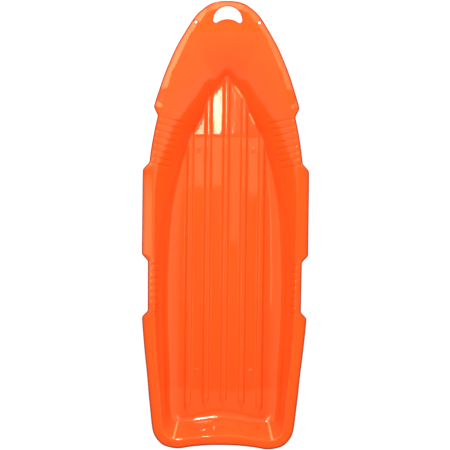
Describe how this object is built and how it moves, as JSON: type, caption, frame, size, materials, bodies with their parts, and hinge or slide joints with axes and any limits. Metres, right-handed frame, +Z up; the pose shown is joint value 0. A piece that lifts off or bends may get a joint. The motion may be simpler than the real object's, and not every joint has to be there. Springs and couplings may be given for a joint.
{
  "type": "snow sled",
  "caption": "Long shallow one-rider plastic snow sled with a ribbed arched floor, notched finger-grip hand-holds, a crescent nose grab slot and small tow-rope holes.",
  "frame": {"origin": "on the running surface, midway between the bow tip and the stern lobes, on the centre line", "axes": "+X to the right side, +Y towards the bow, +Z up"},
  "size_m": [0.454, 1.222, 0.1241],
  "materials": {
    "shell": "glossy moulded"
  },
  "bodies": {
    "root": {"floor_front": "shell", "floor_pan": "shell", "floor_rear": "shell", "bow_deck": "shell", "left_bow_side": "shell", "right_bow_side": "shell", "left_front_wall": "shell", "right_front_wall": "shell", "left_side_wall": "shell", "right_side_wall": "shell", "left_rear_wall": "shell", "right_rear_wall": "shell", "left_stern_corner": "shell", "right_stern_corner": "shell", "stern_wall": "shell", "nose_deck": "shell", "nose_handle": "shell", "left_tow_eye": "shell", "right_tow_eye": "shell", "left_bow_rim": "shell", "right_bow_rim": "shell", "left_front_grip": "shell", "right_front_grip": "shell", "left_side_rim": "shell", "right_side_rim": "shell", "left_rear_grip": "shell", "right_rear_grip": "shell", "left_rear_rim": "shell", "right_rear_rim": "shell", "stern_rim": "shell"}
  },
  "joints": []
}
